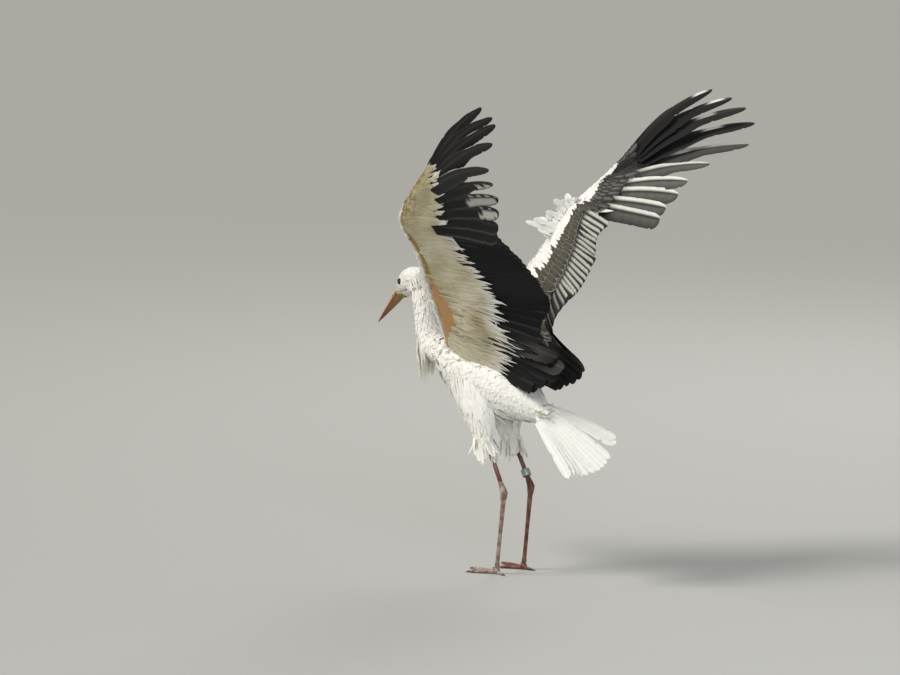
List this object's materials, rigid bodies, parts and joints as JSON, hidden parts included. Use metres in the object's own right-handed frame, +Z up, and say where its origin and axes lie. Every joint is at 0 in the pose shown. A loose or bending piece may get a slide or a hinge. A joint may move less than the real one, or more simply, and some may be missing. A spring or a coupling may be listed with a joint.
{
  "type": "white stork model",
  "caption": "Life-size standing white stork with both wings raised, white plumage, black flight feathers, long bill and legs, and a leg ring.",
  "frame": {"origin": "on the floor at the middle of the bounding box", "axes": "+Z up, bird faces -Y, its left side is +X"},
  "size_m": [0.8296, 0.9574, 1.1908],
  "materials": {
    "plumage": "soft matt white feathers",
    "flight_feathers": "satin black feathers with grey outer webs",
    "bill": "satin horn, dull reddish orange",
    "legs": "scaled skin, reddish brown",
    "claws": "dark horn",
    "eyes": "wet dark brown",
    "leg_ring": "dull grey-green metal"
  },
  "bodies": {
    "root": {"bill_lower": "bill", "bill_upper": "bill", "breast_plumes": "plumage", "claw_hind_left": "claws", "claw_hind_right": "claws", "claw_inner_left": "claws", "claw_inner_right": "claws", "claw_middle_left": "claws", "claw_middle_right": "claws", "claw_outer_left": "claws", "claw_outer_right": "claws", "eye_left": "eyes", "eye_right": "eyes", "foot_left": "legs", "foot_right": "legs", "forearm_left": "plumage", "forearm_right": "plumage", "hand_left": "plumage", "hand_right": "plumage", "head": "plumage", "inner_primaries_left": "flight_feathers", "inner_primaries_right": "flight_feathers", "leg_ring": "leg_ring", "neck": "plumage", "primary_10_left": "flight_feathers", "primary_10_right": "flight_feathers", "primary_5_left": "flight_feathers", "primary_5_right": "flight_feathers", "primary_6_left": "flight_feathers", "primary_6_right": "flight_feathers", "primary_7_left": "flight_feathers", "primary_7_right": "flight_feathers", "primary_8_left": "flight_feathers", "primary_8_right": "flight_feathers", "primary_9_left": "flight_feathers", "primary_9_right": "flight_feathers", "secondaries_left": "flight_feathers", "secondaries_right": "flight_feathers", "shank_left": "legs", "shank_right": "legs", "tail_coverts": "plumage", "tail_fan": "plumage", "tail_right": "plumage", "tertials_left": "flight_feathers", "tertials_right": "flight_feathers", "thigh_left": "plumage", "thigh_right": "plumage", "tibia_left": "legs", "tibia_right": "legs", "trunk": "plumage", "upper_arm_left": "plumage", "upper_arm_right": "plumage", "wrist_coverts_right": "plumage"}
  },
  "joints": []
}
